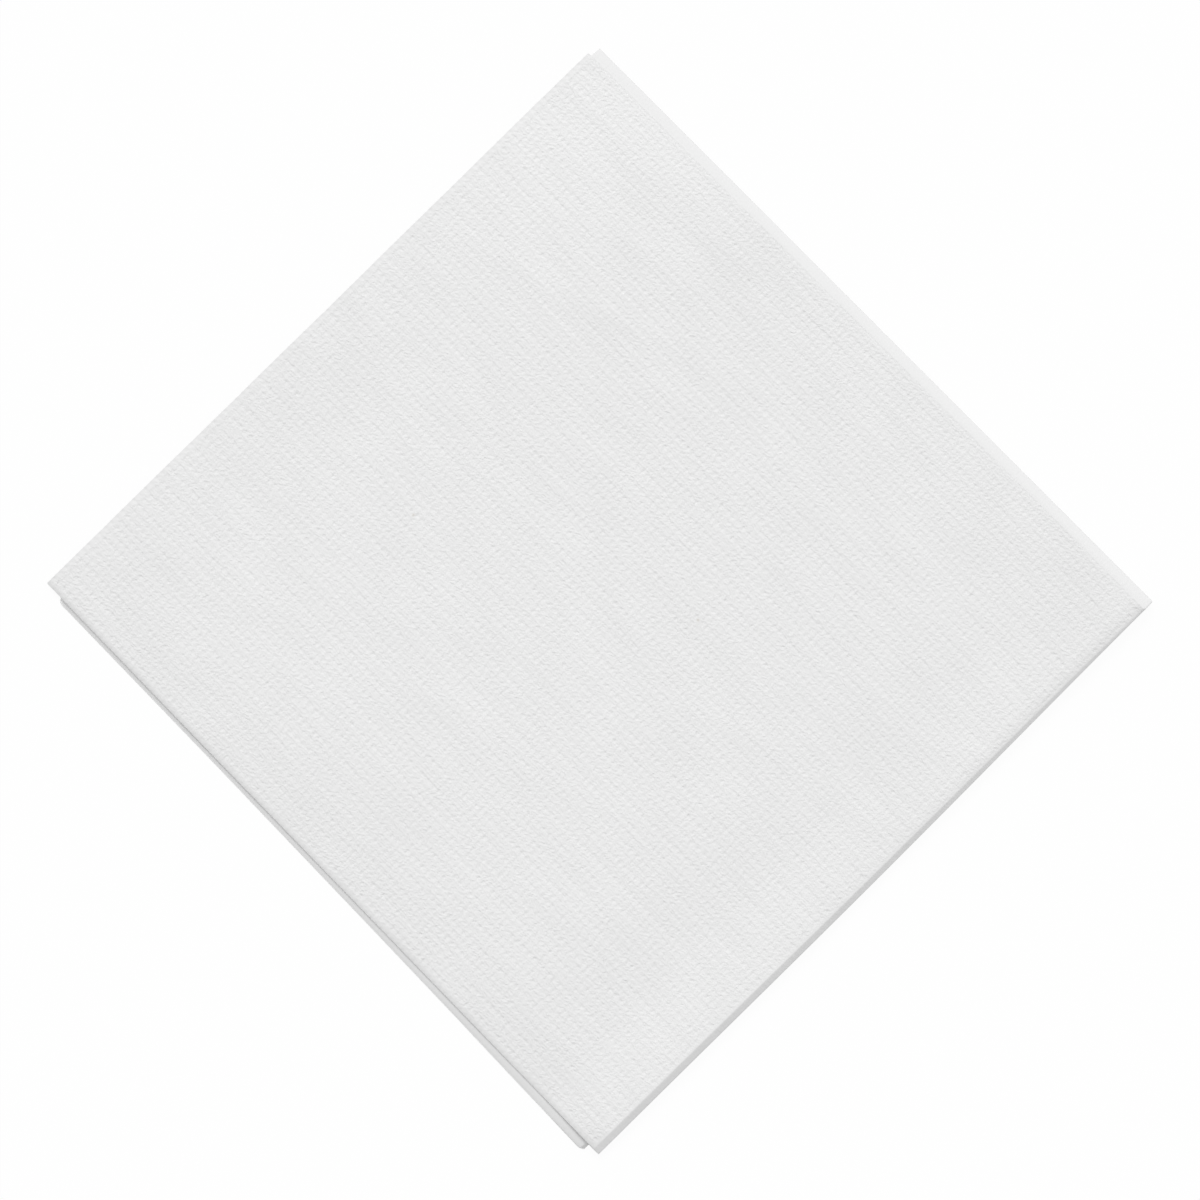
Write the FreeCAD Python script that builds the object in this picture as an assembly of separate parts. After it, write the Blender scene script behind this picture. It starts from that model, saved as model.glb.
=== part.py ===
import FreeCAD, Part
import math
import os

# Driving dimensions, in millimetres

# The square sheet, flat, and its two embossed plies together
sheet_side = 250.0
sheet_thickness = 0.30

# Air between two layers that lie on each other
layer_gap = 0.15

# The second fold: its tip bends the layers round this radius, a sloping shoulder rises from the tip to a
# knee, and the front pair sinks from the knee on to the back pair over the settling length
second_fold_inner_radius = 0.30
second_fold_shoulder = 1.10
second_fold_settle = 70.0

# The first fold has no shoulder where the second fold presses it, and a growing one towards the free edge
pressed_shoulder = 0.03
front_fold_shoulder = 1.05
back_fold_shoulder = 0.35
first_fold_settle = 12.0

# Slope of the shoulders, in degrees
shoulder_slope = 35.0

# How far each layer's free side stands past half of the sheet, at the second fold and at the free edge
front_side_past_at_fold = 0.95
front_side_past_at_end = 2.15
second_layer_past_at_fold = 0.20
second_layer_past_at_end = -0.95
third_layer_past_at_fold = 0.20
third_layer_past_at_end = -3.55
back_side_past_at_fold = 0.35
back_side_past_at_end = -3.30

# How far the first fold's line turns inwards on the way to the free edge
front_fold_turn_in = 0.25
back_fold_turn_in = 2.45

# How far the cut edge of each pair stands past half of the sheet, at its open side and at the first fold
front_end_past_at_side = -1.50
front_end_past_at_fold = 0.65
back_end_past_at_side = -1.10
back_end_past_at_fold = 1.90

# The knife leans, so each lower layer reaches a little further than the one above it
knife_lean = 24.0

# Corners of the back pair that the knife nipped off: along the cut edge, and up the side
open_corner_nip = (0.55, 0.65)
fold_corner_nip = (0.80, 0.40)

# Steps of the easing curves along a pair
stations = 8

# Derived sizes
half_side = sheet_side / 2
pair_thickness = 2 * sheet_thickness + layer_gap
tip_radius = pair_thickness / 2
wrap_radius = second_fold_inner_radius + pair_thickness
slope = math.radians(shoulder_slope)
front_start = wrap_radius + second_fold_shoulder * math.cos(slope)
front_height = 2 * wrap_radius + second_fold_shoulder * math.sin(slope)
spare_length = 4 * pair_thickness + abs(back_end_past_at_fold - back_end_past_at_side)


def ease(share):
    """From 0 to 1 with level ends."""
    share = min(max(share, 0.0), 1.0)
    return share * share * (3 - 2 * share)


def between(start, end, share):
    return start + (end - start) * share


def sloped_curve(start, end):
    """A curve from start to end in the section, level at both ends."""
    handle = (end.x - start.x) / 2
    curve = Part.BezierCurve()
    curve.setPoles([
        start,
        FreeCAD.Vector(start.x + handle, 0, start.z),
        FreeCAD.Vector(end.x - handle, 0, end.z),
        end,
    ])
    return curve.toShape()


def fold_height(shoulder):
    """How high a pair stands at the knee of its first fold."""
    return pair_thickness + shoulder * math.sin(slope)


def pair_section(shoulder, flat_width, raised_width):
    """Two layers joined by a fold whose tip is at x = 0. The lower layer is flat. The upper one rises up the
    shoulder to a knee and sinks from there on to the lower one."""
    t = sheet_thickness
    tip = (-tip_radius, tip_radius)
    knee = (tip[0] - shoulder * math.cos(slope), tip[1] + shoulder * math.sin(slope))
    settled = knee[0] - first_fold_settle
    height = fold_height(shoulder)

    def at(x, z):
        return FreeCAD.Vector(x, 0, z)

    def on_bend(centre, radius, degrees):
        """A point of a bend, from its lowest point at 0 degrees to its highest at 180."""
        turn = math.radians(degrees)
        return at(centre[0] + radius * math.sin(turn), centre[1] - radius * math.cos(turn))

    def bend(centre, radius, start, end):
        points = [on_bend(centre, radius, angle) for angle in (start, (start + end) / 2, end)]
        return Part.Arc(*points).toShape()

    def line(start, end):
        return Part.LineSegment(start, end).toShape()

    outside, inside = tip_radius, tip_radius - t
    shoulder_start = 180 - shoulder_slope
    edges = [
        line(at(-flat_width, 0), on_bend(tip, outside, 0)),
        bend(tip, outside, 0, shoulder_start),
        line(on_bend(tip, outside, shoulder_start), on_bend(knee, outside, shoulder_start)),
        bend(knee, outside, shoulder_start, 180),
        sloped_curve(at(knee[0], height), at(settled, pair_thickness)),
        line(at(settled, pair_thickness), at(-raised_width, pair_thickness)),
        line(at(-raised_width, pair_thickness), at(-raised_width, pair_thickness - t)),
        line(at(-raised_width, pair_thickness - t), at(settled, pair_thickness - t)),
        sloped_curve(at(settled, pair_thickness - t), at(knee[0], height - t)),
        bend(knee, inside, 180, shoulder_start),
        line(on_bend(knee, inside, shoulder_start), on_bend(tip, inside, shoulder_start)),
        bend(tip, inside, shoulder_start, 0),
        line(on_bend(tip, inside, 0), at(-flat_width, t)),
        line(at(-flat_width, t), at(-flat_width, 0)),
    ]
    return Part.Wire(edges)


def lay_section(section, fold_x, y, z, tilt):
    """Stand a section at its place along the pair, its open side lowered by tilt degrees."""
    section.rotate(FreeCAD.Vector(0, 0, 0), FreeCAD.Vector(0, 1, 0), -tilt)
    section.translate(FreeCAD.Vector(fold_x, y, z))
    return section


def with_true_planes(solid):
    """The same solid with every face that is flat held as a plane."""
    faces = []
    for face in solid.Faces:
        plane = face.findPlane()
        faces.append(Part.Face(plane, face.OuterWire) if plane else face)
    skin = Part.Compound(faces)
    skin.sewShape()
    rebuilt = Part.Solid(skin.Shells[0])
    if rebuilt.Volume < 0:
        rebuilt.reverse()
    return rebuilt


def folded_pair(start, length, open_shoulder, turn_in, flat_pasts, raised_pasts, heights, end_tilt):
    """A pair of layers from the second fold to beyond the free edge, before it is cut."""
    wires = []
    for number in range(stations + 1):
        share = number / stations
        settled = ease(share * (length - start) / second_fold_settle)
        section = pair_section(
            between(pressed_shoulder, open_shoulder, ease(share)),
            half_side + between(flat_pasts[0], flat_pasts[1], share),
            half_side + between(raised_pasts[0], raised_pasts[1], share),
        )
        wires.append(lay_section(
            section,
            -turn_in * share,
            -between(start, length, share),
            between(heights[0], heights[1], settled),
            end_tilt * settled,
        ))
    return with_true_planes(Part.makeLoft(wires, True, True))


def knife_block(side_length, fold_length, low):
    """All that lies beyond a pair's cut edge. The cut leans and passes through its line at the height low."""
    deep = 4 * wrap_radius
    lean = deep * math.tan(math.radians(knife_lean))
    skew = math.degrees(math.atan2(fold_length - side_length, half_side))
    face = Part.Face(Part.makePolygon([
        FreeCAD.Vector(-sheet_side, -lean, -deep),
        FreeCAD.Vector(-sheet_side, lean, deep),
        FreeCAD.Vector(-sheet_side, -half_side, deep),
        FreeCAD.Vector(-sheet_side, -half_side, -deep),
        FreeCAD.Vector(-sheet_side, -lean, -deep),
    ]))
    block = face.extrude(FreeCAD.Vector(2 * sheet_side, 0, 0))
    block.rotate(FreeCAD.Vector(0, 0, 0), FreeCAD.Vector(0, 0, 1), -skew)
    block.translate(FreeCAD.Vector(0, -fold_length, low))
    return block


def corner_nip(corner, along, up):
    """An upright wedge that takes off a corner: along the cut edge by along, up the side by up."""
    deep = 4 * wrap_radius
    outline = Part.makePolygon([
        corner + FreeCAD.Vector(along, 0, -deep),
        corner + FreeCAD.Vector(0, up, -deep),
        corner + FreeCAD.Vector(-along, up, -deep),
        corner + FreeCAD.Vector(-along, -up, -deep),
        corner + FreeCAD.Vector(along, -up, -deep),
        corner + FreeCAD.Vector(along, 0, -deep),
    ])
    return Part.Face(outline).extrude(FreeCAD.Vector(0, 0, 2 * deep))


def back_pair():
    """The fourth layer, flat on the table, and the third one over it."""
    side_length = half_side + back_end_past_at_side
    fold_length = half_side + back_end_past_at_fold
    pair = folded_pair(
        wrap_radius,
        fold_length + spare_length,
        back_fold_shoulder,
        back_fold_turn_in,
        (back_side_past_at_fold, back_side_past_at_end),
        (third_layer_past_at_fold, third_layer_past_at_end),
        (0.0, 0.0),
        0.0,
    )
    pair = pair.cut(knife_block(side_length, fold_length, 0.0))
    open_corner = FreeCAD.Vector(
        -half_side - back_side_past_at_end - back_fold_turn_in, -side_length, 0)
    fold_corner = FreeCAD.Vector(-back_fold_turn_in, -fold_length, 0)
    pair = pair.cut(corner_nip(open_corner, *open_corner_nip))
    return pair.cut(corner_nip(fold_corner, -fold_corner_nip[0], fold_corner_nip[1]))


def turned(section, axis_y, axis_z, degrees):
    """Sweep a section round an axis along X, and give the swept solid and the section at its end."""
    axis_point = FreeCAD.Vector(0, axis_y, axis_z)
    along_x = FreeCAD.Vector(1, 0, 0)
    swept = section.revolve(axis_point, along_x, degrees)
    end = section.copy()
    end.rotate(axis_point, along_x, degrees)
    return swept, end


def second_fold_wrap():
    """Both layers going round the tip of the second fold, up its shoulder and over the knee."""
    wire = pair_section(
        pressed_shoulder, half_side + back_side_past_at_fold, half_side + third_layer_past_at_fold)
    section = Part.Face(lay_section(wire, 0.0, -wrap_radius, 0.0, 0.0))
    rise = FreeCAD.Vector(0, -math.cos(slope), math.sin(slope)) * second_fold_shoulder
    tip, section = turned(section, -wrap_radius, wrap_radius, 180 - shoulder_slope)
    shoulder = section.extrude(rise)
    section.translate(rise)
    knee, section = turned(section, -wrap_radius + rise.y, wrap_radius + rise.z, shoulder_slope)
    return [tip, shoulder, knee]


def front_pair():
    """The second layer and the first one over it, sinking from the wrap on to the back pair."""
    side_length = half_side + front_end_past_at_side
    fold_length = half_side + front_end_past_at_fold
    lift_at_fold = fold_height(back_fold_shoulder) + layer_gap
    lift_at_side = pair_thickness + layer_gap
    pair = folded_pair(
        front_start,
        fold_length + spare_length,
        front_fold_shoulder,
        front_fold_turn_in,
        (second_layer_past_at_fold, second_layer_past_at_end),
        (front_side_past_at_fold, front_side_past_at_end),
        (front_height - pair_thickness, lift_at_fold),
        math.degrees(math.atan2(lift_at_fold - lift_at_side, half_side)),
    )
    return pair.cut(knife_block(side_length, fold_length, lift_at_fold))


def napkin():
    """One sheet folded in half and in half again, its lowest face at z = 0 under its box's centre."""
    sheet = back_pair().fuse(second_fold_wrap() + [front_pair()]).removeSplitter()
    sheet = sheet.Solids[0] if len(sheet.Solids) == 1 else sheet
    box = sheet.optimalBoundingBox(False, False)
    sheet.translate(FreeCAD.Vector(-box.Center.x, -box.Center.y, -box.ZMin))
    return sheet


os.makedirs("parts", exist_ok=True)
folded = napkin()
folded.exportStep("parts/napkin.step")
print("napkin", len(folded.Solids), "solid", folded.isValid(), "valid,", round(folded.Volume), "mm3")
box = folded.optimalBoundingBox(False, False)
print("box", [round(length, 2) for length in (box.XLength, box.YLength, box.ZLength)])
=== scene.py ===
import math
import bpy
import bmesh
import numpy as np
from mathutils import Matrix, Vector


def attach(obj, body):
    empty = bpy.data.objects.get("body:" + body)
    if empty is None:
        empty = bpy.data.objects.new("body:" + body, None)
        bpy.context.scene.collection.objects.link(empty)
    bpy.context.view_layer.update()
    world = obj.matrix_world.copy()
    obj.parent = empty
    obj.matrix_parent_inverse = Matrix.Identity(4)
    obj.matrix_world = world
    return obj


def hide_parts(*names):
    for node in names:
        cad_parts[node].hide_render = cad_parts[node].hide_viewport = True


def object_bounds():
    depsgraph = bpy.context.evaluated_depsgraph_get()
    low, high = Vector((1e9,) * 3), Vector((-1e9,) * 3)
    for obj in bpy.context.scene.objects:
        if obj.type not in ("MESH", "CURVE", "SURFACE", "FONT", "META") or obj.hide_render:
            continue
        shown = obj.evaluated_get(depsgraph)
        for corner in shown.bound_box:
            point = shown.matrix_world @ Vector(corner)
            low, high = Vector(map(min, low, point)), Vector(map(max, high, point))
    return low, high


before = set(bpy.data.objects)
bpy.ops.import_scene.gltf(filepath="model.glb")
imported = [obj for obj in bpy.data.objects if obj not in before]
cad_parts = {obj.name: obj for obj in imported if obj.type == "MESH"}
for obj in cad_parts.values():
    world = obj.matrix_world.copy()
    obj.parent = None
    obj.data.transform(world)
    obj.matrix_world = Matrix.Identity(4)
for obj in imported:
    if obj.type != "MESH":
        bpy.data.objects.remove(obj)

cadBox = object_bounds()
mm = 0.001

# The folded sheet, in millimetres and degrees. x = 0 is the first fold, y = 0 the second one. The wrap is the
# paper round the second fold, which joins the front pair of layers to the back pair
napkin = dict(
    half=125.0, thickness=0.30, layerGap=0.15,
    wrapInside=0.30, wrapShoulder=1.00, wrapSettle=70.0,
    pressedShoulder=0.03, frontShoulder=1.15, backShoulder=0.35, shoulderPower=0.44,
    foldSettle=12.0, shoulderSlope=35.0,
    frontSide=(1.05, 2.25), secondSide=(0.20, -0.95),     # past half of the sheet, at the fold and the cut
    thirdSide=(0.20, -3.55), fourthSide=(0.35, -3.30),
    frontTurnIn=0.14, backTurnIn=2.45,
    frontEnd=(-1.52, 0.49), backEnd=(-0.94, 2.06),        # the cut past half, at the open side and the fold
    frontLean=(14.0, 10.0), backLean=12.0, rimLean=5.0,   # how the knife leans, in the front at both ends
    spare=6.0,
    openNip=(0.55, 0.65), foldNip=(0.80, 0.40),
    sideRound=0.26, sideRoundReach=1.2,                   # rounding of the front's corner at the notch
    foldBow=0.30, foldBowReach=60.0, cutBow=0.22,         # how far the long edges leave a straight line
    edgeWander=0.035, wanderReach=3.0,                    # the cut edges' own unevenness
    cutSeed=1.0, sideSeed=5.0,
    foldDrop=0.46, foldDropWidth=2.0,                     # the front's surface bends down to the first fold,
    foldDropStart=0.8, foldDropShare=0.9,                 # from there on, over that share of its length
    press=((12.0, 0.105, 0.100), (1.2, 0.030, 0.045)),    # the knife's: reach, paper thinner, gaps smaller
    cutRound=0.10, cutRoundWidth=0.35,                    # and rounds the edge of the third layer
    cornerPress=5.0, cornerLower=0.50,                    # the front's shoulder is lower near the cut
    pressedTip=0.40, tipShare=2.2,                        # where the second fold flattens the first one's end
    plyGroove=0.04,                                       # depth of the line between the two plies
    rimSteps=((0.10, -0.03), (0.40, -0.03), (0.50, 1.0), (0.60, -0.03), (0.90, -0.03)),    # its shape
    edgeWidth=0.9,                                        # where the knife has smoothed the paper
    uvSpan=256.0,                                         # the open sheet and a margin on the UV map
)

# The embossing, in millimetres: two rows of pits and a low ridge in every repeat
emboss = dict(
    pitch=1.176, repeat=2.60, start=1.30, ridgeLine=1.90,
    pitRadius=0.25, pitDepth=0.062, firstDepth=0.60,      # every other row is that much shallower
    ridgeWidth=0.16, ridgeHeight=0.005, unevenness=0.2,
    rowSeeds=(3.5, 4.8),
    pressDepth=0.069,                                     # depth in the mesh itself, the rest is shading
    wander=0.50, wanderLength=7.0,                        # how far a row strays, and over what length
    wanderAlong=0.24, noiseGain=4.0, rowApart=7.3, seed=7.0,
    acrossLines=(-0.20, 0.20, 0.588), alongLines=(-0.20, 0.20, 0.65, 1.10, 1.50, 1.90),
    fromFold=2.35, fromSide=0.65, fromWrap=0.62, fromCut=0.65, borderFade=0.7,
)

# The mesh's lines, as shares of the folds' parts and in millimetres on the panels
meshLines = dict(
    tip=(0.25, 0.5, 0.75, 1.0), shoulder=(0.12, 0.25, 0.6, 1.0), knee=(0.34, 0.67, 1.0),   # from the first fold
    beyondKnee=(0.35, 1.2, 3.0, 5.5, 8.5, 12.5), panelSteps=6, panelEnd=1.2, byRim=(0.6, 0.3, 0.0),
    wrapSteps=12, wrapShoulder=(0.15, 0.5, 0.85, 1.0), wrapKnee=(0.25, 0.5, 0.75, 1.0),    # from the second
    frontNear=(0.04, 0.09, 0.16, 0.30, 0.6, 1.6), frontPanel=(4.0, 119.5, 28), frontFar=121.6, frontRim=0.3,
    backNear=(0.6, 1.6), backPanel=(5.0, 122.0, 12), backFar=(124.3, 125.2),
)

# Specks in the pulp, places on the front panel in millimetres
specks = [dict(across=92.3, along=73.1, radius=0.17), dict(across=49.0, along=52.2, radius=0.15)]

# Soft creases of the front panel, and places where light and shade are painted into its colour, in millimetres and
# degrees
creases = [
    dict(across=100.0, along=29.8, turn=18.2, bend=-0.001, long=20.0, wide=1.6, height=0.10),
    dict(across=94.4, along=16.2, turn=9.2, bend=0.008, long=16.0, wide=1.7, height=0.08),
    dict(across=30.0, along=27.0, turn=4.0, long=7.0, wide=1.5, height=0.06),
    dict(across=62.0, along=88.0, turn=24.0, long=9.0, wide=1.6, height=0.06),
]
paintedSpots = [
    dict(across=119.0, along=13.0, long=9.0, wide=15.0, amount=1.0),
    dict(across=104.0, along=1.0, long=8.0, wide=4.0, amount=0.7),
    dict(across=82.0, along=8.0, long=8.0, wide=3.5, amount=-0.6),
    dict(across=12.0, along=8.0, long=8.0, wide=6.0, amount=-0.7),
    dict(across=12.0, along=45.0, long=6.0, wide=4.0, amount=-0.6),
    dict(across=21.0, along=95.0, long=4.0, wide=20.0, amount=-0.6),
    dict(across=118.0, along=78.0, long=5.0, wide=11.0, amount=-0.7),
    dict(across=117.0, along=110.0, long=6.0, wide=6.0, amount=-0.6),
    dict(across=62.0, along=111.0, long=13.0, wide=4.0, amount=-0.5),
    dict(across=58.0, along=121.5, long=70.0, wide=2.5, amount=0.45),
    dict(across=6.0, along=90.0, long=4.5, wide=28.0, amount=-0.35),
    dict(across=5.0, along=64.0, long=4.0, wide=9.0, amount=-0.35),
]


def smooth(share):
    share = np.clip(share, 0.0, 1.0)
    return share * share * (3 - 2 * share)


def mix(ends, share):
    return ends[0] + (ends[1] - ends[0]) * share


n = napkin
thickness = n["thickness"]
slope = math.radians(n["shoulderSlope"])
pairHeight = 2 * thickness + n["layerGap"]
tipRadius = pairHeight / 2
wrapRadius = n["wrapInside"] + pairHeight
tipLength = tipRadius * (math.pi / 2 - slope)              # from the middle of the tip to the shoulder
frontStart = wrapRadius + n["wrapShoulder"] * math.cos(slope)
frontHeight = 2 * wrapRadius + n["wrapShoulder"] * math.sin(slope)
wrapLength = wrapRadius * math.pi + n["wrapShoulder"]
backLift = n["backShoulder"] * math.sin(slope)
frontLength = n["half"] + n["frontEnd"][1]
backLength = n["half"] + n["backEnd"][1]


def layerWidth(kind, side, share):
    names = {"front": ("frontSide", "secondSide"), "back": ("fourthSide", "thirdSide")}
    if kind == "wrap":
        kind, share = "back", 0.0
    return n["half"] + mix(n[names[kind][side]], share)


def openShoulder(kind, share):
    ends = {"front": n["frontShoulder"], "back": n["backShoulder"], "wrap": n["pressedShoulder"]}
    return mix((n["pressedShoulder"], ends[kind]), smooth(share) ** n["shoulderPower"])


def isRaised(kind, side):
    return (side == 0) == (kind == "front")


def sideLength(kind, side, share):
    # Path distance from the first fold's tip to the layer's free side
    width, shoulder = layerWidth(kind, side, share), openShoulder(kind, share)
    if isRaised(kind, side):
        return tipLength + shoulder + tipRadius * slope + width - tipRadius - shoulder * math.cos(slope)
    return tipRadius * math.pi / 2 + width - tipRadius


def section(s, shoulder, raised, inset):
    # One layer at path distance s from the first fold's tip, inset into the paper: x and height
    r = tipRadius
    if not raised:
        turn = np.minimum(s / r, math.pi / 2)
        run = np.maximum(s - r * math.pi / 2, 0.0)
        x, z, outX, outZ = -r + r * np.cos(turn) - run, r - r * np.sin(turn), np.cos(turn), -np.sin(turn)
    else:
        up = np.clip(s - tipLength, 0.0, shoulder)
        knee = np.clip(s - tipLength - shoulder, 0.0, r * slope)
        run = np.maximum(s - tipLength - shoulder - r * slope, 0.0)
        turn = (np.minimum(s, tipLength) + knee) / r
        x = -r + r * np.cos(turn) - up * math.cos(slope) - run
        z = r + r * np.sin(turn) + up * math.sin(slope)
        z = z - shoulder * math.sin(slope) * smooth(run / n["foldSettle"])
        outX, outZ = np.cos(turn), np.sin(turn)
    return x - inset * outX, z - inset * outZ


waves = [(0.5, 0.23, 1.0), (0.3, 0.61, 2.1), (0.2, 1.37, 3.7)]    # an edge's waves: share, rate, phase


def wander(along, seed):
    # Slow unevenness of an edge, from -1 to 1
    return sum(share * np.sin(along * rate + phase * seed) for share, rate, phase in waves)


def spotAt(across, along, spot):
    # A soft oval spot on the front panel, 1 in its middle, turned and bent like a crease
    turned = math.radians(spot.get("turn", 0.0))
    x, y = across - spot["across"], along - spot["along"]
    u = x * math.cos(turned) + y * math.sin(turned)
    v = y * math.cos(turned) - x * math.sin(turned) - spot.get("bend", 0.0) * u * u
    return np.exp(-0.5 * (u / spot["long"]) ** 2 - 0.5 * (v / spot["wide"]) ** 2)


def creaseHeight(across, along):
    return sum(spot["height"] * spotAt(across, along, spot) for spot in creases)


def pressedBy(height, fromCut):
    # How much lower the knife presses what is so high in a pair, and how much smaller it makes a gap
    marks = [0.0, thickness, thickness + n["layerGap"], pairHeight]
    lower = closer = 0.0
    for reach, thinner, closes in n["press"]:
        force = np.clip(1 - fromCut / reach, 0, 1) ** 2
        sinks = np.interp(height, marks, [0.0, thinner, thinner + closes, 2 * thinner + closes])
        lower = lower + force * sinks
        closer = closer + force * closes
    return lower, closer


def pointsOnLine(kind, place, side, s, inset):
    # Points of one layer on the line at place: a share of the pair's length, or a distance round the wrap
    if kind == "wrap":
        x, depth = section(s, n["pressedShoulder"], side == 1, inset)
        tip = n["pressedTip"]
        x = np.where(x > -tip, -tip * np.clip(-x / tip, 0, 1) ** n["tipShare"], x)
        r = wrapRadius
        up = np.clip(place - r * (math.pi - slope), 0.0, n["wrapShoulder"])
        knee = np.clip(place - r * (math.pi - slope) - n["wrapShoulder"], 0.0, r * slope)
        turn = (np.clip(place, 0.0, r * (math.pi - slope)) + knee) / r
        y = -r + r * math.sin(turn) - up * math.cos(slope) - depth * math.sin(turn)
        z = r - r * math.cos(turn) + up * math.sin(slope) + depth * math.cos(turn)
        return np.stack([x, y, z], axis=-1)
    front = kind == "front"
    start, length = (frontStart, frontLength) if front else (wrapRadius, backLength)
    ends = n["frontEnd"] if front else n["backEnd"]
    share = place * (length - start) / (length + n["spare"] - start)
    x, z = section(s, openShoulder(kind, share), isRaised(kind, side), inset)
    if front:
        low = n["layerGap"] + pairHeight + backLift
        settled = smooth(place * (length - start) / n["wrapSettle"])
        zLow = mix((frontHeight - pairHeight, low), settled) + backLift / n["half"] * settled * x
        z = z + zLow
        drop = n["foldDrop"] * smooth(place * (length - start) / n["foldDropStart"])
        drop = drop * (1 - smooth(place / n["foldDropShare"]))
        z = z - drop * np.clip(1 + x / n["foldDropWidth"], 0, 1) ** 2 * (z - zLow) / pairHeight
    fromSide = np.maximum(sideLength(kind, side, share) - s, 0.0)
    middle = section(s, openShoulder(kind, share), isRaised(kind, side), thickness / 2)[1]
    angle = mix(n["frontLean"], np.clip(1 + x / n["half"], 0, 1)) if front else n["backLean"]
    lean = np.tan(np.radians(angle)) * np.minimum(middle, pairHeight - thickness / 2)
    facing = 1 if isRaised(kind, side) else -1
    lean = lean + math.tan(math.radians(n["rimLean"])) * (thickness / 2 - inset) * facing
    cut = length + (ends[1] - ends[0]) / n["half"] * x - lean
    cut = cut - n["edgeWander"] * wander(s, n["cutSeed"] + side + 2 * front)
    if not front:
        cut = cut - n["cutBow"] * np.sin(np.pi * np.clip(s / n["half"], 0, 1))
        cut = cut - n["openNip"][1] * np.clip(1 - fromSide / n["openNip"][0], 0, 1)
        cut = cut - n["foldNip"][1] * np.clip(1 + x / n["foldNip"][0], 0, 1)
    y = -start - place * (cut - start)
    fromCut = (1 - place) * (length - start)
    if front and side == 0:
        close = max(1 - fromCut / n["cornerPress"], 0.0) ** 2
        z = z - n["cornerLower"] * close * np.maximum(z - zLow - pairHeight, 0.0)
    lower, closer = pressedBy(z - zLow if front else z, fromCut)
    if front:
        # The front pair also sinks with the pressed back pair under it
        further = [n["backEnd"][i] - n["frontEnd"][i] for i in (0, 1)]
        toBackCut = further[1] + (further[1] - further[0]) / n["half"] * x
        toBackCut = toBackCut - math.tan(math.radians(n["backLean"])) * (pairHeight - thickness / 2)
        lower = lower + closer + pressedBy(pairHeight, fromCut + toBackCut)[0]
        hollow = backLift * np.clip(smooth(-x / n["foldSettle"]) + x / n["half"], 0, 1)
        lower = lower + hollow * max(1 - fromCut / n["press"][0][0], 0.0) ** 2
    else:
        upper = np.interp(z, [pairHeight - thickness, pairHeight], [0.0, 1.0])
        lower = lower + upper * n["cutRound"] * max(1 - fromCut / n["cutRoundWidth"], 0.0) ** 2
    z = z - lower
    if front and side == 0:
        z = z + creaseHeight(s, place * frontLines[-1])
    x = x - (n["frontTurnIn"] if front else n["backTurnIn"]) * share
    if front:
        x = x + n["foldBow"] * math.sin(math.pi * place) ** 2 * np.clip(1 - s / n["foldBowReach"], 0, 1)
    if front and side == 0:
        near = max(1 - place * (length - start) / n["sideRound"], 0.0)
        rounded = n["sideRound"] * (1 - math.sqrt(1 - near * near))
        x = x + rounded * np.clip(1 - fromSide / n["sideRoundReach"], 0, 1)
    strays = n["edgeWander"] * wander(place * n["half"], n["sideSeed"] + side + 2 * front)
    x = x + strays * np.clip(1 - fromSide / n["wanderReach"], 0, 1)
    return np.stack([x, y, z], axis=-1)


def crossMarks(kind, side, place):
    # Path distances of the mesh's lines from the first fold's tip to the free side
    share = place if kind != "wrap" else 0.0
    shoulder, end = openShoulder(kind, share), sideLength(kind, side, share)
    knee = tipLength + shoulder
    after = knee + tipRadius * slope
    marks = [tipLength * f for f in meshLines["tip"]]
    marks += [tipLength + shoulder * f for f in meshLines["shoulder"]]
    marks += [knee + (after - knee) * f for f in meshLines["knee"]]
    marks += [after + f for f in meshLines["beyondKnee"]]
    first, steps = marks[-1], meshLines["panelSteps"]
    reach = end - meshLines["panelEnd"] - first
    marks += [first + reach * f / steps for f in range(1, steps + 1)]
    return np.array(marks + [end - f for f in meshLines["byRim"]])


kneeMark = sum(len(meshLines[part]) for part in ("tip", "shoulder", "knee"))    # the first line past the knee
sideLines = kneeMark + len(meshLines["beyondKnee"]) + meshLines["panelSteps"] + len(meshLines["byRim"])
sideMark = sideLines - 2                                   # the last line but one before the free side

m = meshLines
frontPath, backPath = frontLength - frontStart, backLength - wrapRadius
frontLines = [*m["frontNear"], *np.linspace(*m["frontPanel"]), m["frontFar"], frontPath - m["frontRim"], frontPath]
backLines = [*m["backNear"], *np.linspace(*m["backPanel"]), *m["backFar"], backPath]
wrapLines = [wrapRadius * (math.pi - slope) * f / m["wrapSteps"] for f in range(m["wrapSteps"] + 1)]
wrapLines += [wrapLines[-1] + n["wrapShoulder"] * f for f in m["wrapShoulder"]]
wrapLines += [wrapLines[-1] + wrapRadius * slope * f for f in m["wrapKnee"]]
firstRow, lastRow = 3, len(frontLines) - 2                 # the front's lines round the embossed patch

lines = [("back", f / backLines[-1]) for f in reversed(backLines)] + [("wrap", f) for f in wrapLines]
lines += [("front", f / frontLines[-1]) for f in frontLines]


def flatPlace(kind, place, side, s):
    # Where a point lies on the open sheet, in millimetres from the crossing of its folds
    end = sideLength(kind, side, place if kind != "wrap" else 0.0)
    along = {"back": -place * backLines[-1], "wrap": place, "front": wrapLength + place * frontLines[-1]}
    across = s / end * n["half"] * (1 if side == 0 else -1)
    knee = tipLength + openShoulder(kind, place if kind != "wrap" else 0.0) + tipRadius * slope
    ends = {"back": backLines[-1], "wrap": n["half"], "front": frontLines[-1]}
    fromCut = ends[kind] * (1 - place if kind != "wrap" else 1.0)
    nearEdge = np.clip(1 - np.minimum(end - s, fromCut) / n["edgeWidth"], 0, 1)
    return np.stack([across, np.full_like(across, along[kind]), s - knee, nearEdge], axis=-1)


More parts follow.
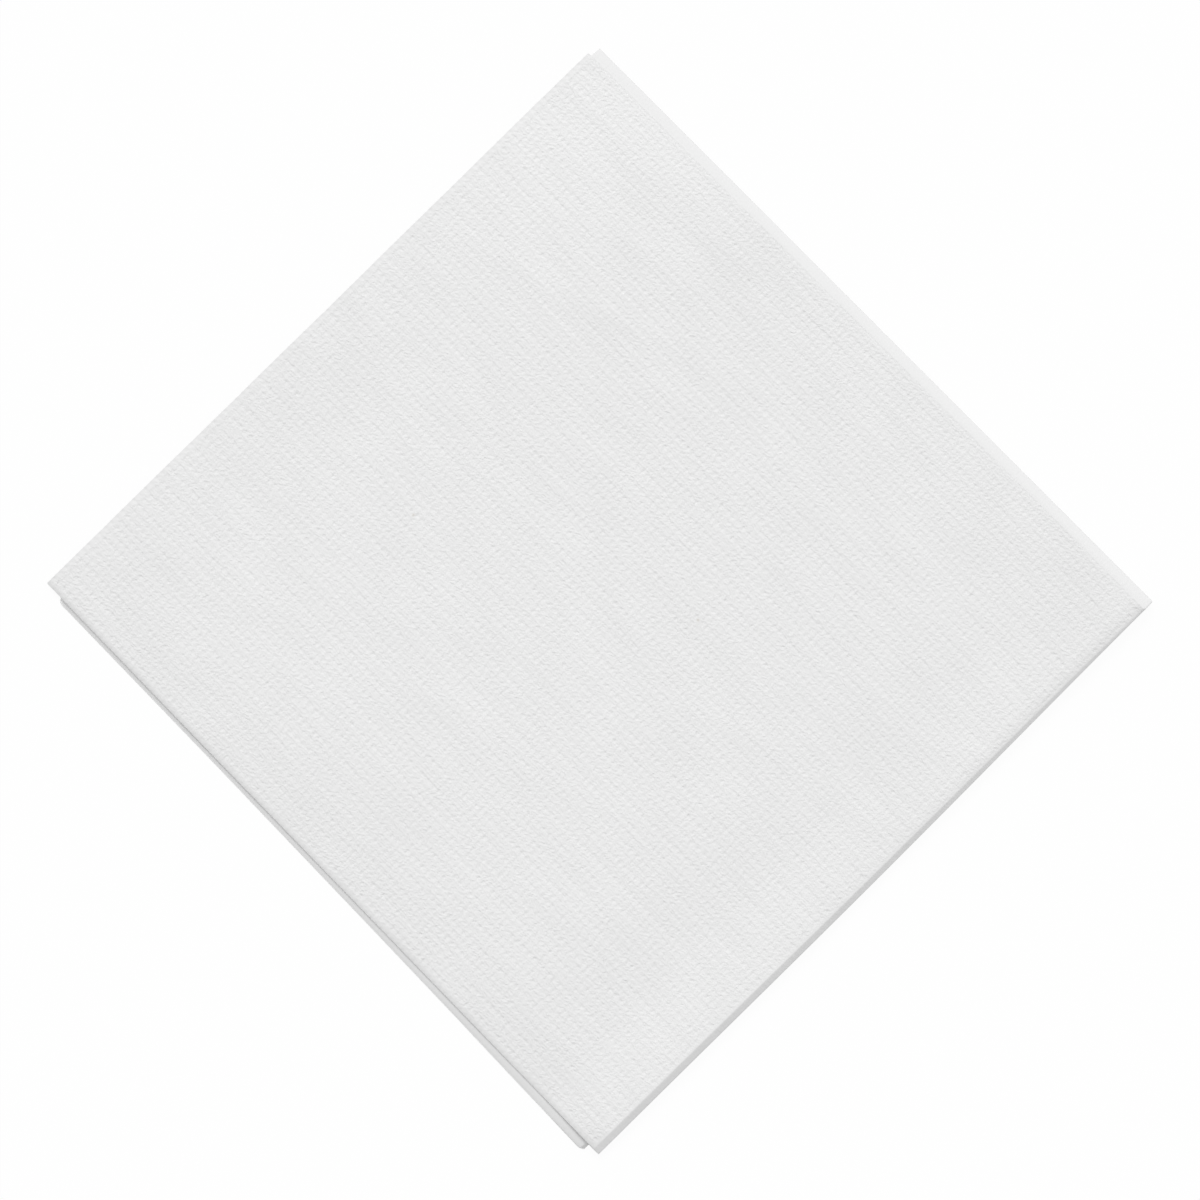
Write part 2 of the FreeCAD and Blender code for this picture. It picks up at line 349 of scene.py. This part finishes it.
class Skin:
    # Points and faces of the sheet as they are added
    def __init__(self):
        self.points, self.places, self.patch, self.faces, self.count = [], [], [], [], 0

    def add(self, points, places, patch=0.0):
        shape = points.shape[:-1]
        self.points.append(points.reshape(-1, 3))
        self.places.append(places.reshape(-1, 4))
        self.patch.append(np.broadcast_to(patch, shape).reshape(-1))
        numbers = np.arange(self.count, self.count + len(self.points[-1])).reshape(shape)
        self.count += len(self.points[-1])
        return numbers

    def fill(self, numbers):
        quads = np.stack([numbers[:-1, :-1], numbers[1:, :-1], numbers[1:, 1:], numbers[:-1, 1:]], axis=-1)
        self.faces += quads.reshape(-1, 4).tolist()

    def zip(self, one, other):
        # Joins two lines of points with different spacing by triangles, always across the shorter way
        every = np.concatenate(self.points)
        i = j = 0
        while i < len(one) - 1 or j < len(other) - 1:
            if j == len(other) - 1:
                stepOne = True
            elif i == len(one) - 1:
                stepOne = False
            else:
                viaOne = np.linalg.norm(every[one[i + 1]] - every[other[j]])
                stepOne = viaOne <= np.linalg.norm(every[one[i]] - every[other[j + 1]])
            if stepOne:
                self.faces.append([int(one[i]), int(one[i + 1]), int(other[j])])
                i += 1
            else:
                self.faces.append([int(one[i]), int(other[j + 1]), int(other[j])])
                j += 1


def sheetGrid(inset):
    # All coarse lines: from the outer layers' free side over the first fold's tip to the inner layers' one
    points, places = [], []
    for kind, place in lines:
        rowPoints, rowPlaces = [], []
        for side in (0, 1):
            s = crossMarks(kind, side, place)
            if side == 1:
                s = np.concatenate([[0.0], s])
            p, q = pointsOnLine(kind, place, side, s, inset), flatPlace(kind, place, side, s)
            rowPoints.append(p[::-1] if side == 0 else p)
            rowPlaces.append(q[::-1] if side == 0 else q)
        points.append(np.concatenate(rowPoints))
        places.append(np.concatenate(rowPlaces))
    return np.array(points), np.array(places)


def lineSet(steps, every, low, high):
    marks = [every * k + f for k in range(-1, int(high / every) + 2) for f in steps]
    return np.array([mark for mark in marks if low < mark < high])


skin = Skin()
outerPoints, flatPlaces = sheetGrid(0.0)
innerPoints, _ = sheetGrid(thickness)
outer = skin.add(outerPoints, flatPlaces)
inner = skin.add(innerPoints, flatPlaces)

# The front panel's face is left open between these lines, for the finely divided patch
fromCol, toCol = sideLines - 1 - sideMark, sideLines - 1 - kneeMark
fromRow = len(backLines) + len(wrapLines) + firstRow
toRow = len(backLines) + len(wrapLines) + lastRow
skin.fill(outer[:fromRow + 1])
skin.fill(outer[toRow:])
skin.fill(outer[fromRow:toRow + 1, :fromCol + 1])
skin.fill(outer[fromRow:toRow + 1, toCol:])
skin.fill(inner)

print("embossed patch of the front panel")
start = emboss["start"]
acrossEnds = (emboss["fromFold"], n["half"] - emboss["fromSide"])
alongEnds = (emboss["fromWrap"] - start, frontLines[-1] - emboss["fromCut"] - start)
acrossMarks = lineSet(emboss["acrossLines"], emboss["pitch"], *acrossEnds)
alongMarks = start + lineSet(emboss["alongLines"], emboss["repeat"], *alongEnds)
patchPoints, patchPlaces = [], []
for mark in alongMarks:
    place = mark / frontLines[-1]
    s = acrossMarks[::-1] / n["half"] * sideLength("front", 0, place)
    patchPoints.append(pointsOnLine("front", place, 0, s, 0.0))
    patchPlaces.append(flatPlace("front", place, 0, s))
border = np.minimum.outer(
    np.minimum(alongMarks - alongMarks[0], alongMarks[-1] - alongMarks) / emboss["borderFade"],
    np.minimum(acrossMarks - acrossMarks[0], acrossMarks[-1] - acrossMarks)[::-1] / emboss["borderFade"])
patch = skin.add(np.array(patchPoints), np.array(patchPlaces), smooth(border))
skin.fill(patch)
skin.zip(outer[fromRow, fromCol:toCol + 1], patch[0])
skin.zip(patch[-1], outer[toRow, fromCol:toCol + 1])
skin.zip(patch[:, 0], outer[fromRow:toRow + 1, fromCol])
skin.zip(outer[fromRow:toRow + 1, toCol], patch[:, -1])

# The rims: each ply ends a little rounded, with a groove between the two
lastR, lastC = outer.shape[0] - 1, outer.shape[1] - 1
loop = [(0, c) for c in range(lastC + 1)] + [(r, lastC) for r in range(1, lastR + 1)]
loop += [(lastR, c) for c in range(lastC - 1, -1, -1)] + [(r, 0) for r in range(lastR - 1, 0, -1)]
rows, cols = np.array(loop).T
inward = np.stack([np.where(rows == 0, 1, np.where(rows == lastR, -1, 0)),
                   np.where(cols == 0, 1, np.where(cols == lastC, -1, 0))], axis=-1)
into = outerPoints[rows + inward[:, 0], cols + inward[:, 1]] - outerPoints[rows, cols]
into = into / np.linalg.norm(into, axis=-1, keepdims=True)
rims = [outer[rows, cols]]
for depth, pull in n["rimSteps"]:
    ring = outerPoints[rows, cols] * (1 - depth) + innerPoints[rows, cols] * depth
    rims.append(skin.add(ring + into * n["plyGroove"] * pull, flatPlaces[rows, cols]))
rims.append(inner[rows, cols])
rims = np.array(rims)
skin.fill(np.concatenate([rims, rims[:, :1]], axis=1))

print("mesh of the napkin")
points = np.concatenate(skin.points)
corner = np.array([cadBox[1][0], cadBox[1][1], cadBox[0][2]])
mesh = bpy.data.meshes.new("napkin_sheet")
mesh.from_pydata((points * mm + corner).tolist(), [], skin.faces)
mesh.validate()
places = np.concatenate(skin.places)
patchShare = np.concatenate(skin.patch)


def addAttribute(name, kind, key, values):
    attribute = mesh.attributes.new(name, kind, "POINT")
    attribute.data.foreach_set(key, np.asarray(values, dtype=np.float32).ravel())


addAttribute("place", "FLOAT_VECTOR", "vector", places[:, :3])
addAttribute("patch", "FLOAT", "value", patchShare)
# Painted light and shade of the listed places on the front panel, kept as an attribute for the material
onPanel = places[:, 1] - wrapLength
paintedSpotShading = sum(spot["amount"] * spotAt(places[:, 0], onPanel, spot) for spot in paintedSpots)
addAttribute("paintedShading", "FLOAT", "value", paintedSpotShading)
addAttribute("edge", "FLOAT", "value", places[:, 3])
uvLayer = mesh.uv_layers.new(name="sheet")
corners = np.empty(len(mesh.loops), dtype=np.int32)
mesh.loops.foreach_get("vertex_index", corners)
uvLayer.data.foreach_set("uv", (0.5 + places[corners, :2] / n["uvSpan"]).astype(np.float32).ravel())

work = bmesh.new()
work.from_mesh(mesh)
bmesh.ops.recalc_face_normals(work, faces=work.faces)
openEdges = sum(1 for edge in work.edges if len(edge.link_faces) != 2)
rimEdges = set(int(v) for v in rims.ravel())
for edge in work.edges:
    edge.smooth = not (edge.verts[0].index in rimEdges and edge.verts[1].index in rimEdges)
for face in work.faces:
    face.smooth = True
work.to_mesh(mesh)
work.free()
print("open edges", openEdges, "faces", len(mesh.polygons), "points", len(mesh.vertices))

napkinPiece = bpy.data.objects.new("napkin_sheet", mesh)
bpy.context.scene.collection.objects.link(napkinPiece)


def addNode(tree, kind, inputs=(), **settings):
    # Adds a node. Its inputs are given in order or by name, as numbers, colours, other nodes or their outputs
    node = tree.nodes.new(kind)
    for name, value in settings.items():
        setattr(node, name, value)
    for key, value in (inputs.items() if isinstance(inputs, dict) else enumerate(inputs)):
        if isinstance(value, bpy.types.Node):
            value = value.outputs[0]
        if isinstance(value, bpy.types.NodeSocket):
            tree.links.new(value, node.inputs[key])
        else:
            node.inputs[key].default_value = value
    return node


mathNode, vectorMath, mapRange = "ShaderNodeMath", "ShaderNodeVectorMath", "ShaderNodeMapRange"


def hexColour(code):
    parts = [int(code[i:i + 2], 16) / 255 for i in (1, 3, 5)]
    return tuple(p / 12.92 if p <= 0.04045 else ((p + 0.055) / 1.055) ** 2.4 for p in parts) + (1.0,)


def squaredLength(tree, x, y):
    x = addNode(tree, mathNode, (x, 2.0), operation="POWER")
    y = addNode(tree, mathNode, (y, 2.0), operation="POWER")
    return addNode(tree, mathNode, (x, y), operation="ADD")


def bell(tree, squared, width):
    # 1 in the middle, falling off to 0 within about twice the width
    spread = addNode(tree, mathNode, (width, width), operation="MULTIPLY")
    spread = addNode(tree, mathNode, (spread, -2.0), operation="MULTIPLY")
    share = addNode(tree, mathNode, (squared, spread), operation="DIVIDE")
    return addNode(tree, mathNode, (share,), operation="EXPONENT")


def offsetIn(tree, value, every):
    # How far a value is from the nearest whole number of steps, and that number
    steps = addNode(tree, mathNode, (value, every), operation="DIVIDE")
    whole = addNode(tree, mathNode, (steps,), operation="ROUND")
    over = addNode(tree, mathNode, (steps, whole), operation="SUBTRACT")
    return addNode(tree, mathNode, (over, every), operation="MULTIPLY"), whole


def pitRow(tree, across, along, seed, sizes):
    # Height of one row of pits in every repeat, each pressed in by its own amount
    acrossOff, acrossCell = offsetIn(tree, across, sizes["pitch"])
    alongOff, alongCell = offsetIn(tree, along, sizes["repeat"])
    cell = addNode(tree, "ShaderNodeCombineXYZ", (acrossCell, alongCell, seed))
    chance = addNode(tree, "ShaderNodeTexWhiteNoise", {"Vector": cell}, noise_dimensions="3D")
    uneven = emboss["unevenness"]
    strength = addNode(tree, mathNode, (chance, uneven, 1 - uneven / 2), operation="MULTIPLY_ADD")
    down = addNode(tree, mathNode, (strength, -1.0), operation="MULTIPLY")
    pit = bell(tree, squaredLength(tree, acrossOff, alongOff), sizes["pitRadius"])
    return addNode(tree, mathNode, (pit, down), operation="MULTIPLY")


def embossHeight(tree, place, sizes):
    # Height of the embossing in millimetres at a place of the open sheet
    apart = addNode(tree, "ShaderNodeSeparateXYZ", (place,))
    across = apart.outputs[0]
    along = addNode(tree, mathNode, (apart.outputs[1], wrapLength + emboss["start"]), operation="SUBTRACT")
    halfRepeat = addNode(tree, mathNode, (sizes["repeat"], 2.0), operation="DIVIDE")
    halfway = addNode(tree, mathNode, (along, halfRepeat), operation="SUBTRACT")
    first = pitRow(tree, across, along, emboss["rowSeeds"][0], sizes)
    second = pitRow(tree, across, halfway, emboss["rowSeeds"][1], sizes)
    pits = addNode(tree, mathNode, (first, emboss["firstDepth"], second), operation="MULTIPLY_ADD")
    pits = addNode(tree, mathNode, (pits, sizes["pitDepth"]), operation="MULTIPLY")
    fromRidge = addNode(tree, mathNode, (along, emboss["ridgeLine"]), operation="SUBTRACT")
    off = offsetIn(tree, fromRidge, sizes["repeat"])[0]
    ridge = bell(tree, addNode(tree, mathNode, (off, 2.0), operation="POWER"), emboss["ridgeWidth"])
    return addNode(tree, mathNode, (ridge, emboss["ridgeHeight"], pits), operation="MULTIPLY_ADD")


print("tissue paper")
# The tissue's finish with its painted light and shade, in millimetres. A noise is given by its lengths across and
# along the sheet
finish = dict(
    fibres=(0.50, 0.40), fibreHeight=0.138, crepe=(9.0, 0.42), crepeHeight=0.026,
    streaks=(7.0, 1.6), streakHeight=0.08,
    bandCreases=(0.45, 3.0), bandCreaseHeight=0.03, foldCreases=(2.0, 0.7), foldCreaseHeight=0.05,
    pitsByWrap=(0.05, 0.35), pitsByFold=(0.0, 0.40),      # the embossing begins this far from the folds
    shoulderStart=(1.9, 1.5),                             # of the wrap, before its end
    meshPits=0.25,                                        # share of the shading that the mesh's own pits give
    smoothShare=0.25,                                     # of the fine relief, where no pits are
    # painted light and shade: the listed places' share and the slant towards the key lamp's corner lighten or
    # darken the tone
    clouds=(11.0, 5.0), cloudAmount=0.7, paintedShadingAmount=0.28, paintedLightSlant=0.0008,
    # painted shade: the strip's and the cuts' shares and the band, strip and cut tones below darken the colour
    # where shade falls
    strip=(2.8, 2.175), stripSmooth=0.8, stripShade=0.6,  # how far the lower layers are seen from the cut
    bandStart=(0.1, 0.5), cutWidth=0.55, cutShade=0.6, speckShare=0.85, rimStart=17 / 18,
    # painted light: the rim's tone makes the cut edges paler
    toneEnds=(0.1, 0.9), darkTone="#e6e6e6", paleTone="#eeeeee",
    bandShadeTone="#e5e5e5", stripShadeTone="#dcdcdc", cutShadeTone="#d4d4d4", speckTone="#cfcbc4", rimLightTone="#fafafa",
    roughness=0.92, specular=0.2,
)
f = finish

# Tissue paper: bleached pulp, creped and embossed in two plies. Matt all over, with a fine tooth of fibres,
# so the light only shows the pits and the folds; its colour has a slight random cloudiness and painted light and
# shade in places
tissue = bpy.data.materials.new("bleached embossed tissue paper")
tissue.use_nodes = True
tree = tissue.node_tree
tree.nodes.clear()
sheetPlace = addNode(tree, "ShaderNodeAttribute", attribute_name="place").outputs["Vector"]
onPatch = addNode(tree, "ShaderNodeAttribute", attribute_name="patch").outputs["Fac"]
nearEdge = addNode(tree, "ShaderNodeAttribute", attribute_name="edge").outputs["Fac"]
paintedShading = addNode(tree, "ShaderNodeAttribute", attribute_name="paintedShading").outputs["Fac"]
apart = addNode(tree, "ShaderNodeSeparateXYZ", (sheetPlace,))
across, along, pastKnee = apart.outputs[0], apart.outputs[1], apart.outputs[2]


def noiseAt(lengths, amount, middle=0.0, detail=2.0):
    # Noise on the open sheet round a middle value, its features about so many millimetres across and along
    mapped = addNode(tree, "ShaderNodeMapping", {
        "Vector": sheetPlace, "Scale": (1 / lengths[0], 1 / lengths[1], 0.0)})
    noise = addNode(tree, "ShaderNodeTexNoise", {
        "Vector": mapped, "Scale": 1.0, "Detail": detail, "Roughness": 0.5})
    return addNode(tree, mapRange, {
        "Value": noise, "To Min": middle - amount / 2, "To Max": middle + amount / 2}, clamp=False)


# Pits everywhere but on the pressed folds. The patch has its pits in the mesh too, so it needs less shading
beforeWrap = addNode(tree, mathNode, (along, -1.0), operation="MULTIPLY")
afterWrap = addNode(tree, mathNode, (along, wrapLength), operation="SUBTRACT")
fromWrap = addNode(tree, mathNode, (beforeWrap, afterWrap), operation="MAXIMUM")
beyondWrap = addNode(tree, mapRange, (fromWrap, *f["pitsByWrap"]))
beyondFold = addNode(tree, mapRange, (pastKnee, *f["pitsByFold"]))
embossed = addNode(tree, mathNode, (beyondWrap, beyondFold), operation="MINIMUM")
shaded = addNode(tree, mathNode, (onPatch, -f["meshPits"], 1.0), operation="MULTIPLY_ADD")
pits = embossHeight(tree, sheetPlace, emboss)
for share in (embossed, shaded):
    pits = addNode(tree, mathNode, (pits, share), operation="MULTIPLY")

# Fibres, creping and streaks, quieter where the folds and the knife have pressed the paper
crepeLines = noiseAt(f["crepe"], f["crepeHeight"], detail=1.0)
fine = addNode(tree, mathNode, (crepeLines, noiseAt(f["streaks"], f["streakHeight"])), operation="ADD")
fine = addNode(tree, mathNode, (noiseAt(f["fibres"], f["fibreHeight"], detail=1.0), fine), operation="ADD")
onShoulder = addNode(tree, mapRange, (along, *[wrapLength - before for before in f["shoulderStart"]]))
rougher = addNode(tree, mapRange, {"Value": embossed, "To Min": f["smoothShare"]})
offTip = addNode(tree, mathNode, (beyondWrap, onShoulder), operation="MAXIMUM")
fromEdge = addNode(tree, mathNode, (1.0, nearEdge), operation="SUBTRACT")
fromEdge = addNode(tree, mathNode, (fromEdge, 2.0), operation="POWER")
for share in (rougher, offTip, fromEdge):
    fine = addNode(tree, mathNode, (fine, share), operation="MULTIPLY")

# Short creases across both folds
onWrap = addNode(tree, mathNode, (1.0, beyondWrap), operation="SUBTRACT")
onWrap = addNode(tree, mathNode, (onWrap, onShoulder), operation="MULTIPLY")
onFold = addNode(tree, mathNode, (1.0, beyondFold), operation="SUBTRACT")
height = addNode(tree, mathNode, (pits, fine), operation="ADD")
height = addNode(tree, mathNode, (
    noiseAt(f["bandCreases"], f["bandCreaseHeight"]), onWrap, height), operation="MULTIPLY_ADD")
height = addNode(tree, mathNode, (
    noiseAt(f["foldCreases"], f["foldCreaseHeight"]), onFold, height), operation="MULTIPLY_ADD")

# The lower layers stand past the front one at the cut, where the knife has smoothed them
onStrip = addNode(tree, mapRange, (along, *[distance - backLines[-1] for distance in f["strip"]]))
unsmoothed = addNode(tree, mathNode, (onStrip, -f["stripSmooth"], 1.0), operation="MULTIPLY_ADD")
height = addNode(tree, mathNode, (height, unsmoothed), operation="MULTIPLY")
relief = addNode(tree, "ShaderNodeBump", {"Strength": 1.0, "Distance": mm, "Height": height})

# Random clouds of tone, with painted light and shade in the listed places and a little painted light towards the
# key lamp's corner
cloud = noiseAt(f["clouds"], f["cloudAmount"], middle=0.5)
cloud = addNode(tree, mathNode, (paintedShading, f["paintedShadingAmount"], cloud), operation="MULTIPLY_ADD")
diagonal = addNode(tree, mathNode, (across, along), operation="SUBTRACT")
cloud = addNode(tree, mathNode, (diagonal, f["paintedLightSlant"], cloud), operation="MULTIPLY_ADD")
tone = addNode(tree, "ShaderNodeValToRGB", (cloud,))
for element, end, code in zip(tone.color_ramp.elements, f["toneEnds"], (f["darkTone"], f["paleTone"])):
    element.position, element.color = end, hexColour(code)

# Painted shade: darker colour on the second fold's band against the light it catches, on the lower layers' strip
# for the front pair's shadow, and beside every cut
bandEnd = addNode(tree, mapRange, (along, *[wrapLength - before for before in f["bandStart"]]))
paintedBandShade = addNode(tree, mathNode, (bandEnd, addNode(tree, mapRange, (along, -1.0, 0.0))), operation="MINIMUM")
paintedStripShade = addNode(tree, mathNode, (onStrip, f["stripShade"]), operation="MULTIPLY")
toFrontCut = addNode(tree, mathNode, (wrapLength + frontLines[-1], along), operation="SUBTRACT")
toBackCut = addNode(tree, mathNode, (along, backLines[-1]), operation="ADD")
toCut = addNode(tree, mathNode, (toFrontCut, toBackCut), operation="MINIMUM")
paintedCutShade = addNode(tree, mapRange, (toCut, f["cutWidth"], 0.0))
paintedCutShade = addNode(tree, mathNode, (paintedCutShade, 2.0), operation="POWER")
paintedCutShade = addNode(tree, mathNode, (paintedCutShade, f["cutShade"]), operation="MULTIPLY")

# Two specks of brown pulp
speck = 0.0
for spot in specks:
    offAcross = addNode(tree, mathNode, (across, spot["across"]), operation="SUBTRACT")
    offAlong = addNode(tree, mathNode, (along, wrapLength + spot["along"]), operation="SUBTRACT")
    inSpot = bell(tree, squaredLength(tree, offAcross, offAlong), spot["radius"])
    speck = addNode(tree, mathNode, (inSpot, f["speckShare"], speck), operation="MULTIPLY_ADD")

# Painted light: the cut edges are painted paler, for the light the thin paper lets through them
paintedRimLight = addNode(tree, mapRange, (nearEdge, f["rimStart"], 1.0))
colour = tone.outputs[0]
for share, code in ((paintedBandShade, f["bandShadeTone"]), (paintedStripShade, f["stripShadeTone"]), (paintedCutShade, f["cutShadeTone"]),
                    (speck, f["speckTone"]), (paintedRimLight, f["rimLightTone"])):
    blend = addNode(tree, "ShaderNodeMix", {0: share, 6: colour, 7: hexColour(code)}, data_type="RGBA")
    colour = blend.outputs[2]
shader = addNode(tree, "ShaderNodeBsdfPrincipled", {
    "Base Color": colour, "Roughness": f["roughness"], "Specular IOR Level": f["specular"], "Normal": relief})
addNode(tree, "ShaderNodeOutputMaterial", {"Surface": shader})

# The embossing in the mesh: the patch's points move along their normals, and its rows stray a little
embossTree = bpy.data.node_groups.new("emboss", "GeometryNodeTree")
embossTree.interface.new_socket("Geometry", in_out="INPUT", socket_type="NodeSocketGeometry")
embossInputs = {
    "Pitch (mm)": emboss["pitch"], "Repeat (mm)": emboss["repeat"], "Pit radius (mm)": emboss["pitRadius"],
    "Pit depth (mm)": emboss["pressDepth"], "Wander (mm)": emboss["wander"],
    "Wander length (mm)": emboss["wanderLength"], "Seed": emboss["seed"]}
sockets = {name: embossTree.interface.new_socket(name, in_out="INPUT", socket_type="NodeSocketFloat")
           for name in embossInputs}
embossTree.interface.new_socket("Geometry", in_out="OUTPUT", socket_type="NodeSocketGeometry")
given = addNode(embossTree, "NodeGroupInput").outputs
named = "GeometryNodeInputNamedAttribute"
placeNode = addNode(embossTree, named, {"Name": "place"}, data_type="FLOAT_VECTOR")
patchNode = addNode(embossTree, named, {"Name": "patch"}, data_type="FLOAT")
depth = embossHeight(embossTree, placeNode, {
    "pitch": given["Pitch (mm)"], "repeat": given["Repeat (mm)"], "pitRadius": given["Pit radius (mm)"],
    "pitDepth": given["Pit depth (mm)"]})
for share in (patchNode, mm):
    depth = addNode(embossTree, mathNode, (depth, share), operation="MULTIPLY")
normal = addNode(embossTree, "GeometryNodeInputNormal")
pressedIn = addNode(embossTree, vectorMath, {0: normal, "Scale": depth}, operation="SCALE")

placeApart = addNode(embossTree, "ShaderNodeSeparateXYZ", (placeNode,))
rowNumber = addNode(embossTree, mathNode, (
    placeApart.outputs[1], wrapLength + emboss["start"]), operation="SUBTRACT")
rowSpace = addNode(embossTree, mathNode, (given["Repeat (mm)"], 2.0), operation="DIVIDE")
rowNumber = addNode(embossTree, mathNode, (rowNumber, rowSpace), operation="DIVIDE")
rowNumber = addNode(embossTree, mathNode, (rowNumber,), operation="ROUND")
rowPlace = addNode(embossTree, "ShaderNodeCombineXYZ", (
    addNode(embossTree, mathNode, (placeApart.outputs[0], given["Wander length (mm)"]), operation="DIVIDE"),
    addNode(embossTree, mathNode, (rowNumber, emboss["rowApart"]), operation="MULTIPLY")))
slow = addNode(embossTree, "ShaderNodeTexNoise", {
    "Vector": rowPlace, "W": given["Seed"], "Scale": 1.0, "Detail": 2.0}, noise_dimensions="4D")
shift = addNode(embossTree, vectorMath, (slow.outputs["Color"], (0.5, 0.5, 0.5)), operation="SUBTRACT")
flatShift = addNode(embossTree, vectorMath, (shift, (1.0, emboss["wanderAlong"], 0.0)), operation="MULTIPLY")
reach = addNode(embossTree, mathNode, (given["Wander (mm)"], emboss["noiseGain"] * mm), operation="MULTIPLY")
reach = addNode(embossTree, mathNode, (reach, patchNode), operation="MULTIPLY")
strayed = addNode(embossTree, vectorMath, {0: flatShift, "Scale": reach}, operation="SCALE")
offset = addNode(embossTree, vectorMath, (pressedIn, strayed), operation="ADD")
moved = addNode(embossTree, "GeometryNodeSetPosition", {"Geometry": given["Geometry"], "Offset": offset})
real = addNode(embossTree, "GeometryNodeRealizeInstances", {"Geometry": moved})
painted = addNode(embossTree, "GeometryNodeSetMaterial", {"Geometry": real, "Material": tissue})
addNode(embossTree, "NodeGroupOutput", {"Geometry": painted})

modifier = napkinPiece.modifiers.new("emboss", "NODES")
modifier.node_group = embossTree
for name, value in embossInputs.items():
    modifier[sockets[name].identifier] = value
finished = bpy.data.meshes.new_from_object(napkinPiece.evaluated_get(bpy.context.evaluated_depsgraph_get()))
napkinPiece.modifiers.remove(modifier)
finished.name = "napkin_sheet"
napkinPiece.data = finished
if tissue.name not in finished.materials:
    finished.materials.append(tissue)

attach(napkinPiece, "root")
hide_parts("napkin")

print("floor, light and camera")
studio = dict(
    floorSize=3.0, floorDrop=0.00005, floorWhite=0.95,
    keyTurn=40.0, keyZenith=46.0, keyShare=0.41, keySoftness=30.0,
    frameWidth=0.192, lens=200.0, sensor=36.0, centre=(0.00086, 0.00094),
)
st = studio


def seenWhite(tree):
    # 1 for the rays that see the plain white: the camera's own, and those of gloss and glass
    rays = addNode(tree, "ShaderNodeLightPath").outputs
    seen = addNode(tree, mathNode, (rays["Is Camera Ray"], rays["Is Glossy Ray"]), operation="MAXIMUM")
    return addNode(tree, mathNode, (seen, rays["Is Transmission Ray"]), operation="MAXIMUM")


floorMesh = bpy.data.meshes.new("floor")
size, level = st["floorSize"], cadBox[0][2] - st["floorDrop"]
floorCorners = [(-size, -size, level), (size, -size, level), (size, size, level), (-size, size, level)]
floorMesh.from_pydata(floorCorners, [], [(0, 1, 2, 3)])
floor = bpy.data.objects.new("floor", floorMesh)
bpy.context.scene.collection.objects.link(floor)

# Studio table: a matt white board, which the camera and any gloss see near white, with a faint shadow
board = bpy.data.materials.new("white lacquered board")
board.use_nodes = True
boardTree = board.node_tree
boardTree.nodes.clear()
paint = addNode(boardTree, "ShaderNodeBsdfDiffuse", {"Color": hexColour("#f0f0f0")})
glow = addNode(boardTree, "ShaderNodeEmission", {"Color": (1, 1, 1, 1), "Strength": 1.0})
glowShare = addNode(boardTree, mathNode, (seenWhite(boardTree), st["floorWhite"]), operation="MULTIPLY")
blended = addNode(boardTree, "ShaderNodeMixShader", (glowShare, paint, glow))
addNode(boardTree, "ShaderNodeOutputMaterial", {"Surface": blended})
floorMesh.materials.append(board)

world = bpy.data.worlds.new("studio")
bpy.context.scene.world = world
world.use_nodes = True
worldTree = world.node_tree
worldTree.nodes.clear()
ambient = 1 - st["keyShare"]
skyLight = addNode(worldTree, mathNode, (seenWhite(worldTree), 1 - ambient, ambient), operation="MULTIPLY_ADD")
sky = addNode(worldTree, "ShaderNodeBackground", {"Color": (1, 1, 1, 1), "Strength": skyLight})
addNode(worldTree, "ShaderNodeOutputWorld", {"Surface": sky})

keyLamp = bpy.data.lights.new("key", "SUN")
zenith, turn = math.radians(st["keyZenith"]), math.radians(st["keyTurn"])
keyLamp.energy = st["keyShare"] * math.pi / math.cos(zenith)
keyLamp.angle = math.radians(st["keySoftness"])
key = bpy.data.objects.new("key", keyLamp)
toLight = Vector((-math.sin(zenith) * math.cos(turn), math.sin(zenith) * math.sin(turn), math.cos(zenith)))
key.matrix_world = toLight.to_track_quat("Z", "Y").to_matrix().to_4x4()
bpy.context.scene.collection.objects.link(key)

cameraData = bpy.data.cameras.new("camera")
cameraData.lens, cameraData.sensor_width = st["lens"], st["sensor"]
cameraData.clip_start, cameraData.clip_end = 0.01, 50.0
camera = bpy.data.objects.new("camera", cameraData)
away = st["frameWidth"] * st["lens"] / st["sensor"]
right, upward = Vector((1, 1, 0)).normalized(), Vector((-1, 1, 0)).normalized()
camera.matrix_world = Matrix((
    (right.x, upward.x, 0, st["centre"][0]), (right.y, upward.y, 0, st["centre"][1]),
    (right.z, upward.z, 1, cadBox[0][2] + frontHeight * mm + away), (0, 0, 0, 1)))
bpy.context.scene.collection.objects.link(camera)
bpy.context.scene.camera = camera
bpy.context.scene.view_settings.view_transform = "Standard"
